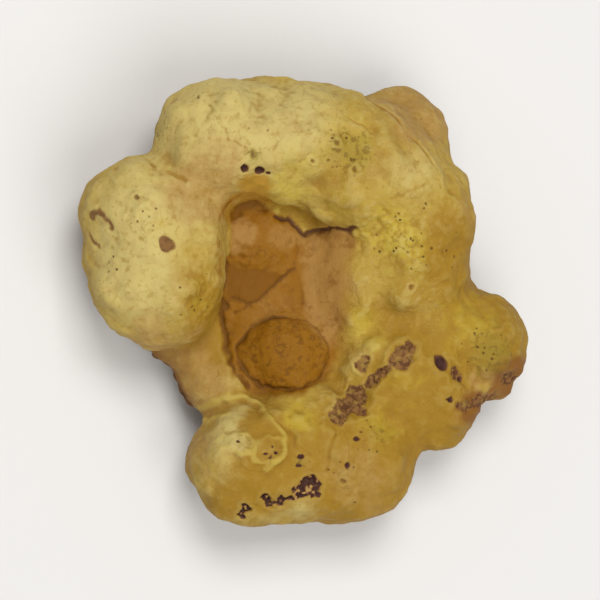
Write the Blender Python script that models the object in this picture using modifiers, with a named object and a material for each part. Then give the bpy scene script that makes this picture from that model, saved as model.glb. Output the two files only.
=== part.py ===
"""One fruiting body of the mushroom Phellinus linteus, as picked, lying on the scar where it left its log.

It grew as one woody piece, so it is one solid: a ring of swollen, golden lobes round a deep pit, open at
one corner where the rim sinks to a low saddle, over the older brown growth that held it to the wood. +Z
points out of the log, the way the pores face, and the origin is the middle of the scar's plane under the
whole body. Lengths in the tables are millimetres.
"""

import math
import random
from typing import NamedTuple

import bmesh
import bpy
from mathutils import Euler, Matrix, Vector
from mathutils.bvhtree import BVHTree

MM = 0.001

# Driving dimensions
BODY_WIDTH = 128.0 * MM
SCAR_LEVEL = 0.0
PIT_CENTRE = Vector((-9.0, 1.0))

# How the lobes fuse
FUSE_GRID = 1.1 * MM
LOBE_BLENDING = 22
KNOB_BLENDING = 4
TRIANGLE_BUDGET = 11000

GOLDEN_OCHRE = (0.44, 0.29, 0.055, 1.0)


class Lobe(NamedTuple):
    """A swelling: its centre, then its radii outwards from the pit, along the rim and up."""

    x: float
    y: float
    z: float
    out: float
    along: float
    up: float


# The young, golden growth that carries the pores, anticlockwise round the pit from the saddle
RIM = {
    "foot_left": Lobe(-18.0, -45.0, 21.0, 17.5, 18.0, 16.0),
    "foot_right": Lobe(8.5, -44.5, 21.5, 18.5, 19.5, 15.5),
    "hip": Lobe(29.0, -26.5, 21.5, 17.5, 16.5, 15.0),
    "knob": Lobe(43.0, -13.5, 22.0, 17.5, 15.0, 14.5),
    "shoulder_low": Lobe(24.5, 7.5, 24.0, 15.0, 16.5, 14.5),
    "shoulder_high": Lobe(27.0, 22.5, 25.5, 16.5, 16.0, 16.0),
    "crown_right": Lobe(11.0, 34.5, 27.0, 19.5, 18.0, 17.0),
    "crown_middle": Lobe(-8.0, 40.5, 27.0, 16.5, 17.0, 17.5),
    "crown_left": Lobe(-29.5, 40.5, 27.5, 17.5, 17.5, 18.0),
    "cheek_high": Lobe(-47.5, 19.5, 26.0, 19.0, 17.0, 16.5),
    "cheek_low": Lobe(-44.5, 3.0, 25.0, 17.5, 18.0, 17.0),
}

# Broad growth that carries the lobes of one side and fills the valleys between them
MANTLES = {
    "crown": Lobe(-10.0, 40.5, 25.5, 16.5, 37.0, 19.5),
    "cheek": Lobe(-45.0, 11.5, 24.0, 18.5, 26.0, 19.5),
    "shoulder": Lobe(23.5, 13.0, 21.0, 18.0, 26.0, 17.5),
    "hip": Lobe(26.0, -20.0, 20.0, 21.0, 26.5, 16.5),
    "knob_neck": Lobe(37.0, -15.0, 20.0, 18.0, 16.0, 14.5),
    "foot": Lobe(-3.0, -42.5, 20.0, 19.5, 28.0, 17.0),
    "crown_to_cheek": Lobe(-36.0, 31.0, 24.5, 13.0, 16.0, 15.0),
    "crown_to_shoulder": Lobe(20.5, 30.0, 25.5, 17.0, 17.0, 17.0),
    "crown_back": Lobe(-17.0, 44.5, 24.5, 15.0, 17.0, 16.0),
    "cheek_side": Lobe(-51.5, 11.0, 23.0, 14.0, 15.0, 15.5),
    "foot_front": Lobe(-5.0, -48.0, 20.5, 14.5, 18.0, 15.5),
    "crown_valley": Lobe(2.0, 33.5, 26.0, 14.0, 14.0, 15.5),
    "crown_apron": Lobe(5.0, 27.0, 21.0, 10.5, 14.0, 16.0),
    "groove_apron": Lobe(-15.0, 33.5, 19.5, 8.5, 12.0, 16.0),
}

# Older growth that looks out from under the rim
SHELVES = {
    "behind_crown": Lobe(22.0, 42.0, 19.0, 15.5, 17.0, 12.0),
    "saddle": Lobe(-23.0, -23.0, 14.0, 13.0, 13.0, 10.5),
}

# The floor and the inner walls of the pit
PIT = {
    "floor": Lobe(-5.0, 0.0, 11.5, 34.0, 34.0, 13.0),
    "upper_floor": Lobe(-15.0, 15.0, 15.5, 13.0, 13.0, 12.0),
    "right_wall": Lobe(10.0, 3.0, 17.5, 12.0, 22.0, 15.0),
}

# Late growth in the pit, which keeps the crease round it
PIT_SWELLINGS = {
    "floor_swelling": Lobe(-7.5, -14.5, 19.0, 12.0, 14.0, 10.5),
    "upper_swelling": Lobe(-18.0, 13.5, 19.0, 8.5, 9.5, 8.0),
}

# The brown wood under the rim, which narrows to the scar
TRUNK = {
    "heart": Lobe(-3.0, 1.0, 7.0, 32.0, 29.0, 14.5),
    "trunk_left": Lobe(-19.0, 12.0, 8.5, 19.0, 22.0, 15.0),
    "trunk_right": Lobe(14.0, -6.0, 8.0, 22.0, 21.0, 14.0),
    "trunk_back": Lobe(6.0, 19.0, 8.5, 17.0, 21.0, 14.0),
}
OLD_SHELF_COUNT = 11
OLD_SHELF_CENTRE = Vector((0.0, 2.0))
OLD_SHELF_REACH = 31.0
OLD_SHELF_LEVEL = 12.5
OLD_SHELF_SIZE = (16.0, 14.0, 8.5)
OLD_SHELF_SCATTER = 2.5

# The small knobs that break up each lobe
KNOBS_A_LOBE = 7
KNOB_RADIUS = (3.4, 6.2)
KNOB_STANDS_OUT = (0.14, 0.3)
KNOB_LOWEST_DIRECTION = 0.05

SEED = 11


def clear_scene():
    for obj in list(bpy.data.objects):
        bpy.data.objects.remove(obj)


def collection(name):
    made = bpy.data.collections.new(name)
    bpy.context.scene.collection.children.link(made)
    return made


def bearing(lobe):
    """The direction from the pit's centre to a lobe, as an angle from +X."""
    return math.atan2(lobe.y - PIT_CENTRE.y, lobe.x - PIT_CENTRE.x)


def add_lobe(bm, lobe):
    """An ellipsoid in the mesh, turned so that its first radius points away from the pit."""
    turn = Euler((0.0, 0.0, bearing(lobe)))
    centre = Vector((lobe.x, lobe.y, lobe.z)) * MM
    radii = Vector((lobe.out, lobe.along, lobe.up)) * MM
    place = Matrix.LocRotScale(centre, turn, radii)
    bmesh.ops.create_icosphere(bm, subdivisions=4, radius=1.0, matrix=place)


def direction_up_and_round(chance):
    """A random direction over the upper half of a sphere."""
    z = chance.uniform(KNOB_LOWEST_DIRECTION, 1.0)
    angle = chance.uniform(0.0, math.tau)
    flat = math.sqrt(1.0 - z * z)
    return Vector((flat * math.cos(angle), flat * math.sin(angle), z))


def add_knobs(bm, skin, lobe, chance):
    """Small round knobs sunk into the skin round one lobe."""
    centre = Vector((lobe.x, lobe.y, lobe.z)) * MM
    for _ in range(KNOBS_A_LOBE):
        way = direction_up_and_round(chance)
        radius = chance.uniform(*KNOB_RADIUS) * MM
        stands_out = chance.uniform(*KNOB_STANDS_OUT)
        widths = Vector((1.0, chance.uniform(0.8, 1.25), chance.uniform(0.8, 1.1))) * radius
        spin = Euler([chance.uniform(0.0, math.tau) for _ in range(3)])
        outside = centre + way * (max(lobe.out, lobe.along) * 2 * MM)
        hit, normal, _, _ = skin.find_nearest(outside)
        place = Matrix.LocRotScale(hit - normal * radius * (1.0 - stands_out), spin, widths)
        bmesh.ops.create_icosphere(bm, subdivisions=2, radius=1.0, matrix=place)


def add_old_shelves(bm, chance):
    """A lower ring of old growth, seen from the sides as dark steps under the rim."""
    for index in range(OLD_SHELF_COUNT):
        angle = math.tau * (index + chance.uniform(-0.2, 0.2)) / OLD_SHELF_COUNT
        reach = OLD_SHELF_REACH + chance.uniform(-1.0, 1.0) * OLD_SHELF_SCATTER
        level = OLD_SHELF_LEVEL + chance.uniform(-0.6, 0.6) * OLD_SHELF_SCATTER
        x = OLD_SHELF_CENTRE.x + reach * math.cos(angle)
        y = OLD_SHELF_CENTRE.y + reach * math.sin(angle)
        add_lobe(bm, Lobe(x, y, level, *OLD_SHELF_SIZE))


def add_lobes(bm, chance):
    """Every large form as a loose shell, overlapping its neighbours."""
    add_old_shelves(bm, chance)
    for lobe in (*TRUNK.values(), *PIT.values(), *SHELVES.values(), *MANTLES.values(), *RIM.values()):
        add_lobe(bm, lobe)


def add_late_growth(bm, chance):
    """The pit's swellings, and knobs set into the skin of the rim."""
    skin = BVHTree.FromBMesh(bm)
    for lobe in PIT_SWELLINGS.values():
        add_lobe(bm, lobe)
    for lobe in RIM.values():
        add_knobs(bm, skin, lobe, chance)


def swelling_texture():
    """Slow lumps that take the roundness out of the lobes."""
    texture = bpy.data.textures.new("growth swellings", "CLOUDS")
    texture.noise_scale = 13 * MM
    texture.noise_depth = 2
    return texture


def cobble_texture():
    """Rounded cells a few millimetres across, with creases between them."""
    texture = bpy.data.textures.new("growth cobbles", "VORONOI")
    texture.noise_scale = 9 * MM
    texture.distance_metric = "DISTANCE"
    return texture


def fuse(body, blending):
    """Turns the loose shells of a mesh into one skin and blends the creases between them."""
    remesh = body.modifiers.new("one skin", "REMESH")
    remesh.mode = "VOXEL"
    remesh.voxel_size = FUSE_GRID
    smooth = body.modifiers.new("soft creases", "SMOOTH")
    smooth.iterations = blending
    apply_modifiers(body)


def roughen(body):
    swell = body.modifiers.new("swellings", "DISPLACE")
    swell.texture = swelling_texture()
    swell.strength = 3.2 * MM
    cobble = body.modifiers.new("cobbles", "DISPLACE")
    cobble.texture = cobble_texture()
    cobble.strength = -1.2 * MM
    cobble.mid_level = 0.35
    apply_modifiers(body)


def lighten(body):
    """Brings the skin down to the triangle budget."""
    decimate = body.modifiers.new("triangle budget", "DECIMATE")
    decimate.use_collapse_triangulate = True
    decimate.ratio = TRIANGLE_BUDGET / (2 * len(body.data.polygons))
    apply_modifiers(body)


def cut_scar(body, scar_cutter):
    """Cuts the body flat where it left the log."""
    cut = body.modifiers.new("scar", "BOOLEAN")
    cut.operation = "DIFFERENCE"
    cut.object = scar_cutter
    apply_modifiers(body)


def apply_modifiers(body):
    rough = body.data
    body.data = evaluated_mesh(body)
    body.modifiers.clear()
    bpy.data.meshes.remove(rough)


def evaluated_mesh(obj):
    graph = bpy.context.evaluated_depsgraph_get()
    return bpy.data.meshes.new_from_object(obj.evaluated_get(graph))


def add_scar_cutter(cutters):
    """A slab that takes away everything below the scar's plane."""
    bpy.ops.mesh.primitive_cube_add(size=1.0, location=(0.0, 0.0, SCAR_LEVEL - 0.05))
    cutter = bpy.context.active_object
    cutter.name = "scar_cutter"
    cutter.scale = (0.4, 0.4, 0.1)
    for owner in list(cutter.users_collection):
        owner.objects.unlink(cutter)
    cutters.objects.link(cutter)
    cutter.display_type = "WIRE"
    cutter.hide_render = True
    return cutter


def centre_and_size(mesh):
    """Sets the body's true width and puts the origin under its middle, in the scar's plane."""
    corners = [[vertex.co[axis] for vertex in mesh.vertices] for axis in range(3)]
    low = Vector([min(side) for side in corners])
    high = Vector([max(side) for side in corners])
    middle = (low + high) / 2
    scale = BODY_WIDTH / (high.x - low.x)
    mesh.transform(Matrix.Translation(-Vector((middle.x, middle.y, low.z))))
    mesh.transform(Matrix.Scale(scale, 4))


def skin_material():
    material = bpy.data.materials.new("golden pore skin")
    material.use_nodes = True
    shader = material.node_tree.nodes["Principled BSDF"]
    shader.inputs["Base Color"].default_value = GOLDEN_OCHRE
    shader.inputs["Roughness"].default_value = 0.75
    shader.inputs["Metallic"].default_value = 0.0
    material.diffuse_color = GOLDEN_OCHRE
    return material


def add_shells(body, add, chance):
    """Adds loose shells to the body's mesh."""
    bm = bmesh.new()
    bm.from_mesh(body.data)
    add(bm, chance)
    bm.to_mesh(body.data)
    bm.free()


def build():
    clear_scene()
    parts = collection("phellinus_linteus")
    cutters = collection("cutters")
    body = bpy.data.objects.new("fruiting_body", bpy.data.meshes.new("fruiting_body"))
    parts.objects.link(body)
    chance = random.Random(SEED)
    add_shells(body, add_lobes, chance)
    fuse(body, LOBE_BLENDING)
    add_shells(body, add_late_growth, chance)
    fuse(body, KNOB_BLENDING)
    roughen(body)
    lighten(body)
    cut_scar(body, add_scar_cutter(cutters))
    centre_and_size(body.data)
    body.data.materials.clear()
    body.data.materials.append(skin_material())
    body.data.shade_smooth()


build()
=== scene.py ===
import math
from itertools import pairwise

import bpy
import numpy as np
from mathutils import Matrix, Vector, noise
from mathutils.bvhtree import BVHTree


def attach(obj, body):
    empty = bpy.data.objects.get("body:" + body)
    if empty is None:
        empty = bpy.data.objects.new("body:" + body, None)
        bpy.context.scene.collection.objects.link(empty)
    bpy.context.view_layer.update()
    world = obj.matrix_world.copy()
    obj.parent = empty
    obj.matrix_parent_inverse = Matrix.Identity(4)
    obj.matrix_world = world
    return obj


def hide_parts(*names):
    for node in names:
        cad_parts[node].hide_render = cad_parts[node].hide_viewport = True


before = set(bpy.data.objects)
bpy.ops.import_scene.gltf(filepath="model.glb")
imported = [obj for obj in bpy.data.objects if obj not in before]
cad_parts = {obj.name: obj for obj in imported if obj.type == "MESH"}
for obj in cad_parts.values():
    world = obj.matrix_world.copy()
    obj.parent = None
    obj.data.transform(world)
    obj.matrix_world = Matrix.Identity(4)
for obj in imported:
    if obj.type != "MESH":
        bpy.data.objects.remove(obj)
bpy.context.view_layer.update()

MM = 0.001


# The view. The body lies on its scar and is looked at from above, straight into the pit and a little from
# the side of the smooth cheek. Places on the skin are given below as millimetres across and up from the
# middle of this view.
view_tilt = math.radians(15)
view_distance = 620 * MM
view_centre = Vector((-2.2, 0.0, 22.0)) * MM
half_view_seen = 82.5 * MM
towards_camera = Vector((-math.sin(view_tilt), 0.0, math.cos(view_tilt)))
view_up = Vector((0.0, 1.0, 0.0))
view_right = view_up.cross(towards_camera)
eye = view_centre + towards_camera * view_distance

camera_data = bpy.data.cameras.new("camera")
camera_data.lens = camera_data.sensor_width / 2 / (half_view_seen / view_distance)
camera = bpy.data.objects.new("camera", camera_data)
bpy.context.scene.collection.objects.link(camera)
turn = Matrix((view_right, view_up, towards_camera)).transposed().to_4x4()
camera.matrix_world = Matrix.Translation(eye) @ turn
bpy.context.scene.camera = camera


# The grown body, one piece of corky wood. It starts as the plain solid: the flat facets are rounded off
# and the skin is laid out again in cells small enough to carry the knobs, creases and wounds of the real
# surface.
SAME_POINT = 0.001 * MM
SKIN_CELL = 0.56 * MM
FACET_SMOOTHING = 10


def evaluated_mesh(obj):
    graph = bpy.context.evaluated_depsgraph_get()
    return bpy.data.meshes.new_from_object(obj.evaluated_get(graph))


skin = bpy.data.objects.new("pore_skin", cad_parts["fruiting_body"].data.copy())
bpy.context.scene.collection.objects.link(skin)
weld = skin.modifiers.new("weld", "WELD")
weld.merge_threshold = SAME_POINT
rounding = skin.modifiers.new("rounding", "SUBSURF")
rounding.levels = 1
cells = skin.modifiers.new("cells", "REMESH")
cells.mode = "VOXEL"
cells.voxel_size = SKIN_CELL
facets = skin.modifiers.new("facets", "SMOOTH")
facets.iterations = FACET_SMOOTHING
skin.data = evaluated_mesh(skin)
skin.modifiers.clear()
skin.data.shade_smooth()

count = len(skin.data.vertices)
points = np.empty(count * 3)
skin.data.vertices.foreach_get("co", points)
points = points.reshape(-1, 3)


# Where things are in the view, so that the pit, the creases and the wounds can be put on the skin where
# they grew. Each point's own place is shifted a little first, so that no edge looks drawn with a compass.
def outwards():
    """The skin's normals, once its mesh has taken on the present points."""
    skin.data.vertices.foreach_set("co", points.ravel())
    skin.data.update()
    normals = np.empty(count * 3)
    skin.data.vertices.foreach_get("normal", normals)
    return normals.reshape(-1, 3)


def skin_tree():
    """The present skin, ready to be looked at along a line of sight."""
    outwards()
    bpy.context.view_layer.update()
    return BVHTree.FromObject(skin, bpy.context.evaluated_depsgraph_get())


def lumps(size, shift):
    """Noise from about -1 to 1 at each point, with lumps about that many millimetres across."""
    place = Vector((shift, -shift, shift * 0.5))
    return np.array([noise.noise(Vector(point) + place) for point in points / (size * MM)])


def wander(size, amount, shift):
    """Noise as a shift of every point, by about that amount in millimetres."""
    return np.stack([lumps(size, shift + other) for other in (0.0, 31.7, 67.3)], axis=1) * amount * MM


def place_in_view():
    """Every point's place in the view."""
    away = wavy - np.array(eye)
    scale = view_distance / (away @ -np.array(towards_camera)) / MM
    return away @ np.array(view_right) * scale, away @ np.array(view_up) * scale


tree = skin_tree()
normals = outwards()
bend = wander(6.5, 1.5, 3.3) + wander(2.2, 0.7, 8.8)
wavy = points + bend - normals * (bend * normals).sum(axis=1)[:, None]
across, up = place_in_view()


# The relief. The creases between the lobes are sharp, and the lobes are unevenly swollen by several years
# of growth, with low knobs a few millimetres across that come and go in patches. The pit between them is
# calmer, and the crown's top edge is a smooth curve. Heights are in millimetres.
PIT_EDGE = [
    (-22.7, 25), (-20.4, 27.5), (-13.6, 28.5), (-9, 25.5), (-3, 21.8), (-0.8, 19.2), (1.2, 17.6),
    (3.5, 19.4), (7.6, 20.2), (13.8, 20.2), (15.1, 15.9), (13.8, 4.5), (13.0, -6.8), (11.6, -12.9),
    (9.2, -18.2), (5.4, -23.4), (0, -26.2), (-7.6, -26.8), (-14.8, -24.6), (-18.8, -18.6),
    (-21.2, -9.0), (-22.4, 4.5), (-23.5, 15.9),
]
PIT_HEIGHTS = (14, 17)
CROWN_TOP = (-4.6, 63.0)
LUMP_ROUNDS = 75


def inside(outline):
    """How many millimetres inside an outline in the view each point is, below 0 outside it."""
    nearest = np.full(count, np.inf)
    within = np.zeros(count, bool)
    for (x0, y0), (x1, y1) in pairwise([*outline, outline[0]]):
        run = np.array((x1 - x0, y1 - y0))
        share = np.clip(((across - x0) * run[0] + (up - y0) * run[1]) / (run @ run), 0, 1)
        nearest = np.minimum(nearest, np.hypot(across - x0 - share * run[0], up - y0 - share * run[1]))
        if y1 != y0:
            within ^= ((y0 > up) != (y1 > up)) & (across < x0 + (up - y0) * run[0] / run[1])
    return np.where(within, nearest, -nearest)


def dip(distance, width):
    """1 on a line or spot, falling smoothly to nothing at about twice the width from it."""
    return np.exp(-((distance / width) ** 2))


ends = np.empty(len(skin.data.edges) * 2, int)
skin.data.edges.foreach_get("vertices", ends)
ends = ends.reshape(-1, 2)
neighbours = np.bincount(ends.ravel(), minlength=count)


def relaxed(values, rounds):
    """Values on the skin's points, averaged with their neighbours' a number of times."""
    values = values.reshape(count, -1)
    for _ in range(rounds):
        total = np.empty_like(values)
        for axis, column in enumerate(values.T):
            first = np.bincount(ends[:, 0], column[ends[:, 1]], count)
            total[:, axis] = first + np.bincount(ends[:, 1], column[ends[:, 0]], count)
        values = (values + total / neighbours[:, None]) / 2
    return values.squeeze()


def raise_by(heights):
    """Moves each point out along its normal by so many millimetres."""
    global points
    points = points + outwards() * heights[:, None] * MM


def crumbs(size, shift, bend=0.0):
    """The distances from each point to the middles of its two nearest crumbs, in crumb widths."""
    place = Vector((shift, shift, -shift))
    bent = points + wander(size * 1.2, bend, shift) if bend else points
    return np.array([noise.voronoi(Vector(point) + place)[0][:2] for point in bent / (size * MM)])


def step(values, low, high):
    """0 where a value is low, 1 where it is high and a soft step between."""
    t = np.clip((values - low) / (high - low), 0.0, 1.0)
    return t * t * (3 - 2 * t)


height_up = points[:, 2] / MM
pit_depth = inside(PIT_EDGE)
calm = step(pit_depth, 0.0, 4.0) * step(height_up, *PIT_HEIGHTS)
points = points + (points - relaxed(points, LUMP_ROUNDS)) * (0.4 - 1.2 * calm)[:, None]
broad = lumps(19, 3.1)
middling = lumps(8, 5.7)
small = lumps(3.2, 8.4)
fine = lumps(1.6, 7.7)
knobbly = step(broad * 0.7 + middling, 0.0, 0.5)
knobs = (0.5 - crumbs(4.2, 2.2)[:, 0]) * knobbly
crown_top = dip(np.hypot(across - CROWN_TOP[0], (up - CROWN_TOP[1]) * 0.6), 4.5)
raise_by((broad * 0.9 + middling * 0.6) * (1 - 0.4 * calm) - crown_top * 1.7)
raise_by(knobs * 0.6 * (1 - 0.7 * calm) + small * 0.28 + fine * 0.13)


# The pit. Its floor is older, orange-brown growth that stopped while the rim went on, with a round
# granular swelling at its lower end, a smooth paler shelf with a few granules in its upper corner, and a
# smooth paler wall on the right.
FLOOR_SWELLING = (-4.5, -14.6, 24.4, 19.8, 0.05)
SHELTERED_FROM = (3.5, -5.5)
SHELF = (-16.4, 18.0, 12.0, 11.0)
UNDER_CROWN = (-4.5, 17.5, 12.0, 9.0)
GRANULES = [
    (-17.2, 12.2, 4.0, 3.2), (-14.4, 10.8, 4.4, 3.4), (-11.2, 9.4, 3.6, 3.0), (-14.6, 13.6, 3.4, 2.8),
    (-10.6, 12.4, 5.0, 4.0), (-10.5, 25.4, 5.4, 4.6), (-8.2, 23.4, 3.4, 3.0),
]
PIT_CREASES = [
    ([(-14.6, -1.6), (-11.5, 0.4), (-8.0, 3.2), (-3.6, 7.0), (-0.8, 8.8)], 1.0),
    ([(-19.0, 1.4), (-16.4, -0.8), (-13.8, -2.6)], 0.8),
    ([(-18.2, -3.8), (-15.5, -2.2), (-13.0, -0.6)], 0.7),
    ([(-0.5, 15.5), (-0.7, 8.0), (0.6, -0.8)], 0.45),
]
UPPER_EDGE = [
    (-6.9, 23.0), (-3.0, 21.8), (-0.8, 19.2), (1.2, 17.6), (3.5, 19.2), (8.2, 19.8), (12.8, 19.2),
    (15.7, 20.2),
]
LEFT_WALL = [
    (-19.8, 19.5), (-20.2, 14.0), (-20.6, 8.0), (-21.0, 2.0), (-20.9, -6.5), (-19.6, -14.0),
    (-17.8, -20.0), (-13.6, -24.0),
]
# The upper left of the pit floor, beside the cheek's overhang, which is darkened as painted shade.
SHADED_FLOOR = [
    (-20.8, 11.0), (-16.0, 9.8), (-9.0, 8.2), (-3.6, 6.6), (-8.4, 2.4), (-14.4, -1.8), (-20.8, -0.5),
]
LINE_STEP = 0.4
LINE_REACH = 6 * MM
FAR_AWAY = 9.0


def spot_at(across, up):
    """The point of the skin that shows at a place in the view."""
    target = view_centre + (view_right * across + view_up * up) * MM
    return tree.ray_cast(eye, (target - eye).normalized())[0]


def spot(at_across, at_up, width, height, tilt=0.0):
    """Distance from a patch's middle, as 1 at the edge of an ellipse so many millimetres wide and high."""
    right = across - at_across
    above = up - at_up
    along = (right * math.cos(tilt) + above * math.sin(tilt)) / (width / 2)
    over = (above * math.cos(tilt) - right * math.sin(tilt)) / (height / 2)
    off = np.hypot(along, over)
    far = np.linalg.norm(wavy - np.array(spot_at(at_across, at_up)), axis=1) / MM
    return np.where(far < 2.5 * max(width, height), off, FAR_AWAY)


def line(places):
    """Distance in millimetres from a line over the skin that shows at these places in the view."""
    trail = []
    for (x0, y0), (x1, y1) in pairwise(places):
        steps = max(2, int(math.hypot(x1 - x0, y1 - y0) / LINE_STEP))
        trail += [spot_at(x0 + (x1 - x0) * t / steps, y0 + (y1 - y0) * t / steps) for t in range(steps)]
    trail = np.array([hit for hit in trail if hit])
    close = np.all((wavy > trail.min(0) - LINE_REACH) & (wavy < trail.max(0) + LINE_REACH), axis=1)
    distance = np.full(count, FAR_AWAY)
    gaps = wavy[close][:, None, :] - trail[None, :, :]
    distance[close] = np.minimum(np.linalg.norm(gaps, axis=2).min(1) / MM, FAR_AWAY)
    return distance


facing = outwards() @ np.array(towards_camera)
broken = step(middling + small * 0.7, -0.5, 0.3)
right_blend = step(across, 6, 13) * step(16 - up, 0, 4)
pit = step((pit_depth + small * 0.8) / (1 + 3 * right_blend), -0.8, 1.0)
pit *= step(height_up, *PIT_HEIGHTS) * step(facing, 0.25, 0.5)
swelling = spot(*FLOOR_SWELLING)
swelling_dome = np.sqrt((1 - swelling**2).clip(0, 1))
sheltered = step(np.hypot(across - SHELTERED_FROM[0], up - SHELTERED_FROM[1]), 3.0, 11.0)
swelling_crease = dip((swelling - 1.02) * 11, 0.6) * (0.35 + 0.65 * broken)
swelling_crease = swelling_crease * (0.3 + 0.7 * sheltered) * pit
shelf = step(1.1 - spot(*SHELF), 0.0, 0.5) * pit
under_crown = step(1.3 - spot(*UNDER_CROWN), 0.0, 0.8)
granules = sum(step(1.15 - spot(*granule), 0.0, 0.7) for granule in GRANULES).clip(0, 1) * pit
floor_creases = [dip(line(places), 0.6) * strength for places, strength in PIT_CREASES]
floor_creases = np.maximum.reduce(floor_creases)
floor_creases *= (0.75 + 0.25 * broken) * pit
upper_edge = dip(line(UPPER_EDGE), 0.9)
left_wall = dip(line(LEFT_WALL), 0.8)
raise_by(
    swelling_dome * pit * 1.5
    - swelling_crease * 0.7
    + shelf * 0.5
    + granules * 0.35
    - floor_creases * 0.5
    - upper_edge * 0.9
    - left_wall * 0.8
)
grainy = step(1.05 - swelling, 0.0, 0.3) * pit
raise_by((0.5 - crumbs(1.5, 6.1)[:, 0]) * (grainy * 0.4 + granules * 0.6))


# Creases where the lobes' growing edges have met and pressed together, each with its width and depth, and
# the shallow groove that runs down into the pit from the wound at its head.
LOBE_CREASES = [
    ([(17.0, 57.0), (21.5, 53.5), (27.5, 49.0), (33.0, 42.5), (38.5, 35.5), (43.0, 28.5)], 0.7, 0.55),
    ([(41.5, 36.3), (36.0, 33.0), (29.0, 30.2), (24.0, 27.0)], 0.4, 0.35),
    ([(40.4, 4.8), (36.0, 3.2), (33.0, 0.5), (31.0, -1.0)], 0.6, 0.35),
    ([(-41.0, 37.5), (-37.5, 35.0), (-34.0, 34.2), (-31.0, 32.2)], 0.8, 0.5),
    ([(2.5, -43.0), (-1.0, -40.5), (-2.5, -37.0), (-6.5, -33.5), (-9.5, -30.0)], 0.7, 0.5),
    ([(10.5, -35.5), (8.0, -41.0), (7.2, -47.0)], 0.7, 0.5),
    ([(9.0, 58.0), (13.0, 51.0), (20.0, 45.5)], 0.4, 0.3),
    ([(-26.0, 55.0), (-21.0, 49.0), (-19.5, 43.0), (-15.0, 41.0)], 0.4, 0.3),
]
GROOVE = [(-12.3, 31.5, 11.0, 9.0), (-12.8, 27.4, 13.0, 6.0), (-18.6, 24.0, 5.0, 6.0)]
# How strongly each point is darkened by painted shade along the lobe creases.
crease_shade = np.zeros(count)
for places, width, depth in LOBE_CREASES:
    crease = dip(line(places), width) * (0.3 + 0.7 * broken)
    crease_shade = np.maximum(crease_shade, crease * (0.5 + depth * 0.7))
    raise_by(-crease * depth)
groove = np.maximum.reduce([step(1.25 - spot(*part), 0.0, 0.9) for part in GROOVE])
raise_by(-groove * 0.6)


# Wounds. Insects and knocks have left small holes with purple-black walls, and along the lower right the
# skin is worn through to rough red-brown wood in patches, which it has begun to grow over with a raised
# yellow rim. Scars have a width, and healed ridges a width and a height.
HOLES = [
    (-14.8, 36.4, 2.4, 2.0, 0.3), (-11.2, 35.9, 2.4, 2.0), (-9.0, 35.4, 1.2, 1.0),
    (38.9, -16.6, 3.3, 5.4, 0.25), (41.3, -26.8, 1.6, 1.6), (43.6, -22.4, 0.9, 0.9),
    (42.4, -20.2, 0.8, 0.8), (-9.5, -42.2, 1.2, 1.0), (-8.3, -43.2, 1.0, 1.0), (-7.1, -42.0, 1.4, 1.2),
    (-8.6, -40.6, 0.9, 0.8), (-17.2, -39.8, 1.3, 0.8), (0.0, -43.2, 1.7, 1.6), (-0.8, -45.6, 0.9, 1.0),
    (13.3, -45.5, 1.7, 1.3), (15.9, -37.8, 1.2, 1.4),
]
WORN = [
    (17.4, -17.3, 3.4, 5.2, 0.2), (22.8, -20.0, 6.5, 3.2, 0.45), (28.2, -15.6, 6.4, 7.0, 0.6),
    (30.6, -12.6, 3.8, 4.2, 0.4), (19.6, -22.2, 4.8, 3.0, 0.6), (15.6, -26.2, 7.8, 6.4, 0.6),
    (12.8, -29.8, 7.2, 6.0, 0.7), (10.2, -32.4, 5.4, 3.2, 0.4), (15.6, -31.4, 3.4, 3.2, 0.0),
    (42.8, -20.8, 2.6, 5.6, 0.45), (57.6, -21.8, 4.4, 3.2, 0.7), (49.5, -27.4, 6.8, 3.0, 0.4),
    (45.4, -29.0, 4.2, 2.8, 0.2),
]
CREVICES = [
    (1.8, -52.4, 9.5, 4.8, 0.15), (-3.8, -54.2, 4.6, 2.8, 0.3), (3.5, -50.2, 5.0, 3.0, -0.3),
    (-8.6, -55.2, 3.6, 2.2, 0.0), (-15.0, -58.2, 5.2, 2.2, 0.4), (-12.0, -56.8, 2.4, 1.6, 0.0),
]
OVAL_SCAR = (-36.3, 15.8, 4.8, 6.8, 0.45)
CURVED_SCARS = [
    ([(-58.0, 23.5), (-56.0, 24.8), (-53.5, 23.0), (-52.4, 19.5)], 1.1),
    ([(-59.0, 19.5), (-57.0, 16.5), (-54.5, 15.0)], 0.7),
]
HEALED_RING = [(-17.4, -39.8, 9.6, 4.8, -0.05), (-8.6, -41.4, 9.0, 6.6, 0.15)]
HEALED_BUMPS = [(0.4, -33.0, 6.0, 5.0, 0.0), (19.5, -12.0, 6.0, 5.0, 0.4), (51.0, -23.6, 9.0, 4.0, 0.2)]
CRATERS = [
    (15.8, 36.2, 3.4, 3.0), (3.6, 38.5, 1.8, 1.6), (10.5, 42.3, 3.5, 3.0), (-13.5, 40.8, 2.6, 4.0),
    (-28.0, 55.0, 2.2, 2.0), (-45.0, 28.5, 2.6, 2.2), (31.0, 3.5, 3.0, 2.4), (12.0, -50.0, 2.4, 2.0),
]
RIDGES = [
    ([(-32.5, -31.5), (-26.0, -28.5), (-19.5, -26.5)], 1.4, 0.35),
    (
        [(-21.0, -27.5), (-14.5, -27.0), (-9.0, -31.0), (-4.4, -36.8), (-5.0, -43.0), (-9.8, -47.2)],
        1.2, 0.9,
    ),
    ([(-31.5, -35.5), (-25.5, -32.5), (-18.5, -31.5)], 1.0, 0.5),
]

dark = np.zeros(count)
for hole in HOLES:
    distance = spot(*hole)
    dark = np.maximum(dark, step(1.2 - distance, 0.0, 0.6))
    raise_by(-step(1.35 - distance, 0.0, 1.0) * min(1.3, hole[2] * 0.55))


def into(patches):
    """How many millimetres inside the nearest of these patches each point is."""
    return np.maximum.reduce([(1.0 - spot(*patch)) * min(patch[2], patch[3]) / 2 for patch in patches])


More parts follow.
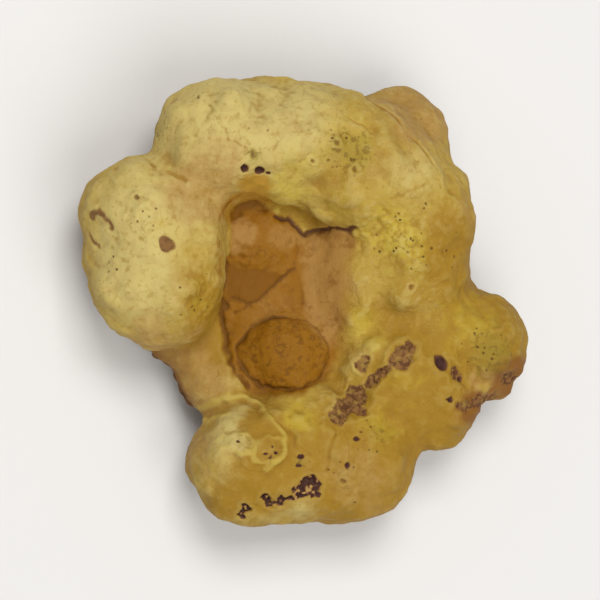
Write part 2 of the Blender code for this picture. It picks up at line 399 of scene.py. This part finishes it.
worn_in = into(WORN) + small * 0.8 + fine * 0.5
worn = step(worn_in, -0.5, 0.5)
healing = dip(worn_in + 1.1, 0.6) * broken
crumbly = 0.5 - crumbs(1.4, 4.4)[:, 0] + fine * 0.3
crevice = step(into(CREVICES) + small * 0.9 + fine * 0.9, -0.3, 0.4)
oval = step(1.15 - spot(*OVAL_SCAR), 0.0, 0.6)
curved = np.maximum.reduce([dip(line(places), width) for places, width in CURVED_SCARS]) * broken
ring_in = into(HEALED_RING)
ringed = dip(ring_in, 0.7) * (0.5 + 0.5 * broken)
healed = sum(step(1.1 - spot(*bump), 0.0, 0.9) for bump in HEALED_BUMPS)
raise_by(healing * 0.25 - worn * 0.5 + worn * crumbly * 0.8 - crevice * 1.2 + crevice * crumbly * 2.2)
raise_by(ringed * 0.8 + step(ring_in, 0.0, 1.0) * 0.25 + healed * 0.7 - oval * 0.4 - curved * 0.4)
for crater in CRATERS:
    distance = spot(*crater)
    dark = np.maximum(dark, step(0.9 - distance, 0.0, 0.6) * 0.3)
    raise_by(dip((distance - 1.0) * crater[2] / 2, 0.6) * 0.3 - step(1.0 - distance, 0.0, 0.8) * 0.4)
ridged = np.zeros(count)
for places, width, height in RIDGES:
    ridge = dip(line(places), width)
    ridged = np.maximum(ridged, ridge)
    raise_by(ridge * height)


# The knob on the right. It has grown out sideways in a fan of low ridges that spread from its neck, like
# the folds of a shell.
KNOB_HEART = (45.5, -12.5)

knob_right = across - KNOB_HEART[0]
knob_above = up - KNOB_HEART[1]
fan_turn = np.arctan2(knob_above, knob_right)
fan = np.sin(fan_turn * 14 + middling * 3.0 + small * 1.5) * dip(np.hypot(knob_right, knob_above) - 8, 4.5)
fan *= step(height_up, 18, 24) * (1 - worn) * step(knob_right - knob_above * 0.4, 0.0, 5.0)
raise_by(fan * 0.16)


# The pimples. Young growth breaks out in them on the shoulder, along the edges of the pit and here and
# there on the lobes. Each patch is given as across, up and radius.
PIMPLED = [
    (27, 17, 8.5), (22, 20, 5), (-27, 6, 5), (-27.5, -3, 5), (-22.5, 40.5, 6), (-44, 26, 6), (35, 13, 5),
    (14, -48, 7), (48, -16, 6),
]
pimpled = sum(dip(np.hypot(across - x, up - y), radius) for x, y, radius in PIMPLED).clip(0, 1)
pimpled *= (1 - pit) * step(facing, 0.2, 0.5) * step(height_up, 20, 26)
raise_by((0.5 - crumbs(1.7, 1.1)[:, 0]) * pimpled * 0.55)


# The old wood. Below the golden rim the body is brown, zoned and cracked, and underneath it is torn flat
# where it came off the log, with its fibres standing up.
height_up = points[:, 2] / MM
normals = outwards()
old = step(middling * 2.5 + broad * 2.0 - height_up, -15.5, -8.5)
scar = step(-normals[:, 2], 0.93, 0.985) * step(-height_up, -1.2, -0.4)
zones = np.sin((height_up + broad * 1.2 + middling * 0.7) * 2.6)
near_crumb, next_crumb = crumbs(5.2, 9.9, 3.6).T
cracks = 1 - step(next_crumb - near_crumb + fine * 0.05, 0.0, 0.13)
cracks *= step(small + middling * 0.6, -0.35, 0.35) * old * (1 - scar)
raise_by(old * (1 - scar) * (zones * 0.3 + fine * 0.35) - cracks * 0.55)
fibre = np.array([noise.noise(Vector((p[0] / 1.1, p[1] / 7.0, 0.0))) for p in points / MM])
points[:, 2] = np.maximum(points[:, 2], 0.0) + scar * (0.5 + fibre * 0.5).clip(0, 1) * 0.9 * MM


# The finish. The pore skin is matt, golden yellow where it grew last, and tan, olive, rust or orange-brown
# where it is older or bruised. Painted shade darkens its hollows and creases, and a painted highlight
# pales its raised tops. It reads a few numbers that are kept on each point of the skin.
def keep(name, values):
    attribute = skin.data.attributes.new(name, "FLOAT", "POINT")
    attribute.data.foreach_set("value", values.astype(np.float32))


PALE_AREAS = [
    (-22, 50, 20, 0.9), (0, 50, 15, 0.65), (-46, 24, 17, 0.8), (-44, 4, 15, 0.7), (-25, -33, 9, 1.2),
    (32, 36, 10, 0.45), (-16, -31, 6, 0.6), (19, -12, 6, 0.7), (-17.5, -39.5, 4, 0.8),
    (-8.6, -41.4, 4, 0.6), (0, 33, 8, 0.3), (2, 27.5, 6, 0.5), (27, 17, 6, 0.5), (9.5, -43, 3.5, 0.9),
    (-18.6, -48.5, 3, 1.0), (1, -58.5, 4.5, 1.0), (-8, -60, 3.5, 0.9), (-4, -30.5, 5, 0.5),
    (53, -24, 5, 0.7),
]
RICH_AREAS = [
    (26, 5, 11, 0.35), (42, 14, 9, 1.7), (33, -27, 14, 2.0), (50, -14, 13, 1.5), (0, -36, 8, 0.7),
    (-11, -50, 9, 1.8), (12, -44, 14, 1.2), (-29, 6, 9, 0.7), (6, 28, 9, 0.5), (38, -36, 10, 1.3),
    (20, 42, 10, 0.5), (8, 36, 9, 0.3), (43, 28, 7, 0.5), (26, -10, 8, 0.5), (48, 0, 9, 0.8),
    (-8, -28, 8, 0.3), (-13, -34.6, 3, 1.6), (-8.5, -36.2, 3, 1.4), (-26, -9, 7, 1.0), (-25, -1, 5, 0.8),
    (18, -52, 11, 1.3), (0, -46, 7, 0.9), (33, 51, 9, 0.7), (-25, -17, 5, 1.0), (-21.5, -56, 4, 0.9),
    (17, -3, 5, 0.4),
]
YELLOW_AREAS = [
    (-4, 28, 6, 1.0), (8, 26, 7, 0.5), (24, 20, 8, 1.0), (18, -5, 6, 0.7), (19, -12, 5, 0.6),
    (30, 14, 6, 0.7), (47, -6, 9, 0.7), (30, -22, 9, 0.4), (-28, 0, 6, 0.5), (-2, -29.5, 5, 0.5),
    (-2, 37, 7, 0.6), (0.4, -33, 4, 1.3), (22, -35, 6, 0.7), (12, 44, 8, 0.6), (-36, 20, 7, 0.4),
]
TAN_AREAS = [
    (-24, 34, 11, 1.0), (-33, -24, 14, 1.0), (13, 6, 6, 0.6), (17, -51, 10, 0.8), (35, 50, 8, 1.5),
    (44, 24, 6, 0.5), (-6, 46, 7, 0.4), (-30, 30, 8, 0.5), (-40, -10, 7, 0.5), (30, 56, 8, 1.4),
    (51, -24, 5, 1.1), (-30, -40, 7, 0.6),
]
RUST_AREAS = [
    (59, -21, 5.5, 1.8), (48.5, -29.5, 5.5, 1.3), (-10, -47, 5, 0.4), (38, 47, 6, 0.2),
    (-54, 22, 4, 0.4), (25, -42, 5, 0.3),
]
SPECKED_AREAS = [
    (-36, 50, 6, 0.8), (12, 41, 7, 1.0), (-44, 26, 8, 0.8), (28, 16, 8, 1.0), (40, 14, 6, 0.9),
    (14, -49, 9, 0.9), (51, -13, 7, 0.9), (-30, 0, 7, 0.8), (-10, 46, 10, 0.5), (34, 30, 6, 0.6),
    (-50, 8, 8, 0.6), (20, -36, 6, 0.6), (34, 52, 5, 0.4),
]
OLIVE_AREAS = [
    (14, 41, 7, 0.9), (53, -14, 6, 1.0), (22, -36, 5, 0.6), (-13.5, 40.8, 2, 1.5), (-40, 48, 5, 0.6),
    (-15, -39.8, 4, 0.5), (28, 15, 5, 0.5), (0, -44.5, 3, 0.6), (15, -50, 7, 0.45), (40, 17, 5, 0.4),
    (-25, 52, 5, 0.4),
]
SMALL_HOLLOW_ROUNDS = 12
LARGE_HOLLOW_ROUNDS = 160
MOST_TRIANGLES = 195000


def areas(places):
    """Soft round areas of the view, as across, up, radius and amount, added together."""
    return sum(amount * dip(np.hypot(across - x, up - y), radius) for x, y, radius, amount in places)


normals = outwards()
hollow_small = np.einsum("ij,ij->i", relaxed(points, SMALL_HOLLOW_ROUNDS) - points, normals) / MM
hollow_large = np.einsum("ij,ij->i", relaxed(points, LARGE_HOLLOW_ROUNDS) - points, normals) / MM
above_rim = step(height_up, 20, 34)
right_wall = step(across + small * 1.5, -1.5, 3.0) * step(up, -17, -8)
keep("hollow_small", hollow_small)
keep("hollow_large", hollow_large)
keep("pale", areas(PALE_AREAS) * above_rim)
keep("rich", areas(RICH_AREAS) + (1 - above_rim) * 0.5)
keep("yellow", areas(YELLOW_AREAS))
keep("tan", areas(TAN_AREAS).clip(0, 1.2))
near_old = step(middling * 3.0 + broad * 3.0 - height_up, -24, -9)
keep("rust", (areas(RUST_AREAS) + near_old * 0.9).clip(0, 1.2))
keep("specked", (areas(SPECKED_AREAS) * (1 - pit)).clip(0, 1))
keep("olive", areas(OLIVE_AREAS).clip(0, 1))
keep("pit", pit)
keep("pit_pale", (shelf + right_wall * 0.9 + under_crown * 0.6).clip(0, 1) * pit)
keep("pit_dark", step(inside(SHADED_FLOOR) + small * 0.7, -0.8, 1.2) * (1 - granules))
keep("pit_grain", np.maximum(grainy, granules * 0.7))
keep("pit_crease", np.maximum.reduce([swelling_crease, floor_creases, left_wall * (0.3 + 0.9 * pit)]))
keep("upper_edge", upper_edge)
keep("groove", groove)
keep("crease_shade", crease_shade)
keep("worn", worn)
keep("weathered", np.maximum(oval, curved))
keep("crevice", crevice)
keep("ridged", np.maximum(ridged, healed * 0.8))
keep("fan", fan)
keep("healing", np.maximum(healing * (1 - worn) * 0.55, ringed * 1.2))
keep("dark", dark)
keep("old", old)
keep("cracks", cracks)
keep("scar", scar)
keep("zones", zones)
underside = skin.vertex_groups.new(name="underside")
underside.add(np.flatnonzero(outwards()[:, 2] < -0.05).tolist(), 1.0, "REPLACE")
fewer = skin.modifiers.new("fewer", "DECIMATE")
fewer.vertex_group = "underside"
fewer.ratio = min(1.0, MOST_TRIANGLES / (2 * len(skin.data.polygons)))
fewer.use_collapse_triangulate = True
skin.data = evaluated_mesh(skin)
skin.modifiers.clear()
skin.vertex_groups.clear()
skin.data.shade_smooth()

material = bpy.data.materials.new("pore skin")
material.use_nodes = True
finish = material.node_tree
shader = finish.nodes["Principled BSDF"]


class Value:
    """A socket of the finish. Arithmetic on it adds the Math nodes."""

    def __init__(self, socket):
        self.socket = socket

    @classmethod
    def node(cls, kind, settings, inputs, output=0):
        """Adds a node: its type, its settings, and the values or links of its sockets."""
        made = finish.nodes.new("ShaderNode" + kind)
        for name, setting in settings.items():
            setattr(made, name, setting)
        for name, given in inputs.items():
            if isinstance(given, Value):
                finish.links.new(given.socket, made.inputs[name])
            else:
                made.inputs[name].default_value = given
        return cls(made.outputs[output])

    def maths(self, operation, first, second):
        return Value.node("Math", {"operation": operation}, {0: first, 1: second})

    def __add__(self, other):
        return self.maths("ADD", self, other)

    def __sub__(self, other):
        return self.maths("SUBTRACT", self, other)

    def __rsub__(self, other):
        return self.maths("SUBTRACT", other, self)

    def __mul__(self, other):
        return self.maths("MULTIPLY", self, other)

    __radd__ = __add__
    __rmul__ = __mul__


def kept(name):
    return Value.node("Attribute", {"attribute_name": name}, {}, "Fac")


def soft_step(value, low, high):
    settings = {"interpolation_type": "SMOOTHSTEP"}
    return Value.node("MapRange", settings, {"Value": value, "From Min": low, "From Max": high})


def mixed(first, second, share):
    """One colour laid over another."""
    settings = {"data_type": "RGBA", "clamp_factor": True}
    return Value.node("Mix", settings, {0: share, 6: first, 7: second}, 2)


place = Value.node("TexCoord", {}, {}, "Object")


def mottle(size, detail=3.0, warp=0.0):
    """Noise about 0, with patches so many millimetres across."""
    inputs = {"Vector": place, "Scale": 1 / (size * MM), "Detail": detail, "Distortion": warp}
    return Value.node("TexNoise", {}, inputs, "Fac") - 0.5


def cell_distance(size, feature="F1", vector=place):
    inputs = {"Vector": vector, "Scale": 1 / (size * MM)}
    return Value.node("TexVoronoi", {"feature": feature}, inputs, "Distance")


PALE = (0.575, 0.455, 0.155, 1)
GOLDEN = (0.45, 0.30, 0.052, 1)
RICH = (0.325, 0.175, 0.012, 1)
YELLOW = (0.53, 0.385, 0.038, 1)
TAN = (0.42, 0.25, 0.075, 1)
RUST = (0.23, 0.085, 0.012, 1)
# A brown that is painted shade in hollows and creases, and the colour of the hairline cracks.
SHADE_AND_CRACK_BROWN = (0.29, 0.145, 0.015, 1)
OLIVE = (0.27, 0.20, 0.022, 1)
PIT_ORANGE = (0.272, 0.112, 0.005, 1)
PIT_DARK = (0.20, 0.078, 0.003, 1)
PIT_OCHRE = (0.27, 0.112, 0.003, 1)
PIT_TAN = (0.375, 0.200, 0.050, 1)
GROOVE_ORANGE = (0.45, 0.243, 0.027, 1)
CREASE_BROWN = (0.115, 0.042, 0.004, 1)
SCAR_BROWN = (0.21, 0.092, 0.030, 1)
SPECK_BROWN = (0.13, 0.065, 0.015, 1)
PURPLE_BROWN = (0.085, 0.030, 0.020, 1)
WORN_BROWN = (0.235, 0.112, 0.036, 1)
WORN_DARK = (0.105, 0.040, 0.018, 1)
HEALED = (0.54, 0.40, 0.070, 1)
OLD_BROWN = (0.115, 0.052, 0.022, 1)
OLD_PALE = (0.22, 0.118, 0.045, 1)
PURPLE_BLACK = (0.035, 0.012, 0.014, 1)
WOOD = (0.36, 0.23, 0.10, 1)
GRAIN_DEPTH = 0.45 * MM
DULL = 0.16

broad_mottle = mottle(14, 4, 0.4)
small_mottle = mottle(4, 4, 0.6)
tiny_mottle = mottle(1.4, 3, 0.3)
speck_mottle = mottle(0.7, 2)

colour = mixed(GOLDEN, PALE, soft_step(kept("pale") + broad_mottle * 0.8 + small_mottle * 0.5, 0.05, 0.95))
rich = soft_step(kept("rich") + broad_mottle * 0.7 - small_mottle * 0.5, 0.15, 1)
colour = mixed(colour, RICH, rich * 0.9)
colour = mixed(colour, YELLOW, soft_step(kept("yellow") + small_mottle * 1.1, 0.15, 1.0) * 0.65)
tan = soft_step(kept("tan") + broad_mottle * 1.4 + small_mottle * 0.9, 0.2, 0.9)
colour = mixed(colour, TAN, tan * 0.75)
patches = soft_step(mottle(6, 3, 1.2), 0.02, 0.09)
paler = 1 - soft_step(kept("rich"), 0.3, 1.3) * 0.65
colour = mixed(colour, TAN, patches * paler * 0.22)
# Painted shade and painted highlight: small hollows are darkened with brown, large hollows are made richer
# and darker, and raised tops are made paler.
colour = mixed(colour, SHADE_AND_CRACK_BROWN, soft_step(kept("hollow_small") + tiny_mottle * 0.08, 0.01, 0.16) * 0.5)
colour = mixed(colour, RICH, soft_step(kept("hollow_large"), 0.2, 1.6) * 0.4)
colour = mixed(colour, PALE, soft_step(kept("hollow_small") * -1.0, 0.02, 0.14) * paler * 0.3)
colour = mixed(colour, RICH, soft_step(tiny_mottle, 0.03, 0.2) * 0.35)
colour = mixed(colour, PALE, soft_step(speck_mottle * -1.0, 0.05, 0.25) * paler * 0.25)
colour = mixed(colour, RUST, soft_step(kept("rust") + small_mottle * 0.9, 0.2, 0.9) * 0.85)
olive = soft_step(kept("olive") + small_mottle * 0.9 + tiny_mottle * 0.4, 0.2, 1.0)
colour = mixed(colour, OLIVE, olive * 0.55)
flecks = soft_step(tiny_mottle + small_mottle * 0.4, 0.05, 0.13) * soft_step(kept("olive"), 0.1, 0.7)
colour = mixed(colour, SPECK_BROWN, flecks * 0.4)
# Painted shade: the troughs between the knob's fan of ridges are tinted olive.
colour = mixed(colour, OLIVE, soft_step(kept("fan") * -1.0 + tiny_mottle * 0.6, 0.15, 0.9) * 0.3)
colour = mixed(colour, GROOVE_ORANGE, soft_step(kept("groove") + small_mottle * 0.6, 0.1, 0.9) * 0.9)
colour = mixed(colour, HEALED, soft_step(kept("ridged") + tiny_mottle * 0.5, 0.3, 1.0) * 0.5)

# Hairline cracks wander over the top of the skin.
HAIRLINE_BEND = 5 * MM
HAIRLINE_SPACING = 11
shifted = Value.node("TexNoise", {}, {"Vector": place, "Scale": 1 / HAIRLINE_BEND, "Detail": 2.0}, "Color")
shift = Value.node("VectorMath", {"operation": "SCALE"}, {0: shifted, "Scale": HAIRLINE_BEND})
wandering = Value.node("VectorMath", {"operation": "ADD"}, {0: place, 1: shift})
to_crack = cell_distance(HAIRLINE_SPACING, "DISTANCE_TO_EDGE", wandering)
hairlines = (1 - soft_step(to_crack, 0.008, 0.03)) * soft_step(mottle(12, 2), 0.05, 0.12)
colour = mixed(colour, SHADE_AND_CRACK_BROWN, hairlines * 0.12)

pit_colour = mixed(PIT_ORANGE, PIT_TAN, soft_step(broad_mottle + small_mottle, -0.1, 0.35) * 0.5)
pit_colour = mixed(pit_colour, PIT_TAN, soft_step(kept("pit_pale") + small_mottle * 0.7, 0.1, 0.95) * 0.9)
# Painted shade over the upper left of the pit floor.
pit_colour = mixed(pit_colour, PIT_DARK, soft_step(kept("pit_dark") + small_mottle * 0.4, 0.1, 0.9) * 0.9)
pit_colour = mixed(pit_colour, PIT_OCHRE, kept("pit_grain") * 0.9)
pit_colour = mixed(pit_colour, PIT_DARK, soft_step(small_mottle + tiny_mottle * 0.6, -0.02, 0.2) * 0.5)
# Painted shade: the pit's small hollows are darkened with crease brown, and its granules are dotted with
# it.
pit_hollows = soft_step(kept("hollow_small") + speck_mottle * 0.1, 0.03, 0.2)
grain_dots = soft_step(mottle(1.7, 3, 0.8), 0.03, 0.13) * kept("pit_grain")
pit_colour = mixed(pit_colour, CREASE_BROWN, pit_hollows * 0.35 + grain_dots * 0.5)
grain_tops = soft_step(speck_mottle * -1.0, 0.08, 0.25) * kept("pit_grain")
pit_colour = mixed(pit_colour, PIT_ORANGE, grain_tops * 0.6)
colour = mixed(colour, pit_colour, kept("pit"))
# The pit's crease lines are darkened; along its left wall this darkening is painted shade under the
# cheek's overhang.
colour = mixed(colour, CREASE_BROWN, soft_step(kept("pit_crease") + tiny_mottle * 0.6, 0.15, 0.9) * 0.62)
colour = mixed(colour, PURPLE_BROWN, soft_step(kept("upper_edge") + tiny_mottle * 0.7, 0.25, 0.9) * 0.8)
# Painted shade along the creases where the lobes meet.
colour = mixed(colour, SHADE_AND_CRACK_BROWN, soft_step(kept("crease_shade") + tiny_mottle * 0.4, 0.25, 0.9) * 0.6)

old_colour = mixed(OLD_BROWN, OLD_PALE, soft_step(kept("zones") * 0.4 + small_mottle, -0.2, 0.5))
old_colour = mixed(old_colour, PURPLE_BLACK, kept("cracks") * 0.8)
colour = mixed(colour, old_colour, kept("old"))
colour = mixed(colour, mixed(WOOD, OLD_PALE, soft_step(small_mottle, -0.1, 0.2)), kept("scar"))

pricks = 1 - soft_step(cell_distance(2.3), 0.09, 0.21)
pricked = soft_step(kept("specked") + small_mottle * 0.9 + speck_mottle * 0.5, 0.3, 0.65)
pricked = pricked * (1 - kept("old"))
colour = mixed(colour, SPECK_BROWN, pricks * pricked * 0.85)
colour = mixed(colour, HEALED, soft_step(kept("healing") + tiny_mottle * 0.5, 0.3, 1.0) * 0.45)
# The worn wood is flecked dark at random, and more in its hollows as painted shade.
worn_specks = soft_step(mottle(1.5, 3, 0.6) + kept("hollow_small") * 0.3, -0.04, 0.12)
scar_colour = mixed(SCAR_BROWN, WORN_DARK, soft_step(small_mottle + tiny_mottle * 0.7, -0.03, 0.16) * 0.6)
colour = mixed(colour, scar_colour, soft_step(kept("weathered") + tiny_mottle * 0.4, 0.25, 0.9) * 0.9)
worn_colour = mixed(WORN_BROWN, WORN_DARK, worn_specks)
worn_colour = mixed(worn_colour, GOLDEN, soft_step(mottle(1.9, 2, 0.4), 0.07, 0.13) * 0.35)
worn_share = soft_step(kept("worn") + tiny_mottle * 0.9 + speck_mottle * 0.6, 0.2, 0.8)
colour = mixed(colour, worn_colour, worn_share * 0.92)
crevice_colour = mixed(WORN_BROWN, WORN_DARK, soft_step(tiny_mottle, -0.1, 0.05))
crumb_tops = soft_step(kept("hollow_small") * -1.0 + speck_mottle * 0.3, 0.08, 0.2)
crevice_colour = mixed(crevice_colour, TAN, crumb_tops)
# Painted shade: the deepest hollows of the crevices are darkened towards purple-black.
deepest = soft_step(kept("hollow_small") + speck_mottle * 0.3, 0.0, 0.15)
crevice_colour = mixed(crevice_colour, PURPLE_BLACK, deepest * 0.8)
colour = mixed(colour, crevice_colour, soft_step(kept("crevice") + tiny_mottle * 0.8, 0.3, 0.6))
colour = mixed(colour, WORN_DARK, soft_step(kept("dark"), 0.05, 0.5))
colour = mixed(colour, PURPLE_BLACK, soft_step(kept("dark"), 0.5, 1.0) * 0.7)

roughness = 0.66 + small_mottle * 0.3 + kept("old") * 0.15 + kept("worn") * 0.12
relief = tiny_mottle * 0.4 + mottle(0.45, 2) * 0.25 - pricks * pricked * 0.6 - hairlines * 0.2
relief = relief + kept("old") * mottle(0.7, 3) * 0.5
bump = Value.node("Bump", {}, {"Height": relief, "Distance": GRAIN_DEPTH, "Strength": 0.9})
for name, value in {"Base Color": colour, "Roughness": roughness, "Normal": bump}.items():
    finish.links.new(value.socket, shader.inputs[name])
shader.inputs["Specular IOR Level"].default_value = DULL
skin.data.materials.clear()
skin.data.materials.append(material)
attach(skin, "root")
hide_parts("fruiting_body")


# The floor and the light: a plain pale surface under one broad, soft lamp beyond the crown, with the rest
# filled in evenly from all round.
FLOOR_WIDTH = 4.0
FLOOR_PALE = (0.80, 0.79, 0.77, 1)
ALL_ROUND = (1.0, 0.98, 0.95, 1)

bpy.ops.mesh.primitive_plane_add(size=FLOOR_WIDTH)
floor = bpy.context.active_object
floor.name = "floor"
paper = bpy.data.materials.new("floor")
paper.use_nodes = True
paper.node_tree.nodes["Principled BSDF"].inputs["Base Color"].default_value = FLOOR_PALE
paper.node_tree.nodes["Principled BSDF"].inputs["Roughness"].default_value = 0.9
floor.data.materials.append(paper)


def lamp(name, place, size, power):
    light = bpy.data.lights.new(name, "AREA")
    light.size = size
    light.energy = power
    holder = bpy.data.objects.new(name, light)
    bpy.context.scene.collection.objects.link(holder)
    holder.location = place
    holder.rotation_euler = (view_centre - holder.location).to_track_quat("-Z", "Y").to_euler()


lamp("key", Vector((-0.08, 0.36, 0.90)), 0.4, 5.0)
lamp("fill", Vector((0.15, -0.50, 0.90)), 0.8, 5.0)
world = bpy.data.worlds.new("studio")
world.use_nodes = True
world.node_tree.nodes["Background"].inputs["Color"].default_value = ALL_ROUND
world.node_tree.nodes["Background"].inputs["Strength"].default_value = 0.32
bpy.context.scene.world = world
bpy.context.scene.view_settings.view_transform = "Standard"
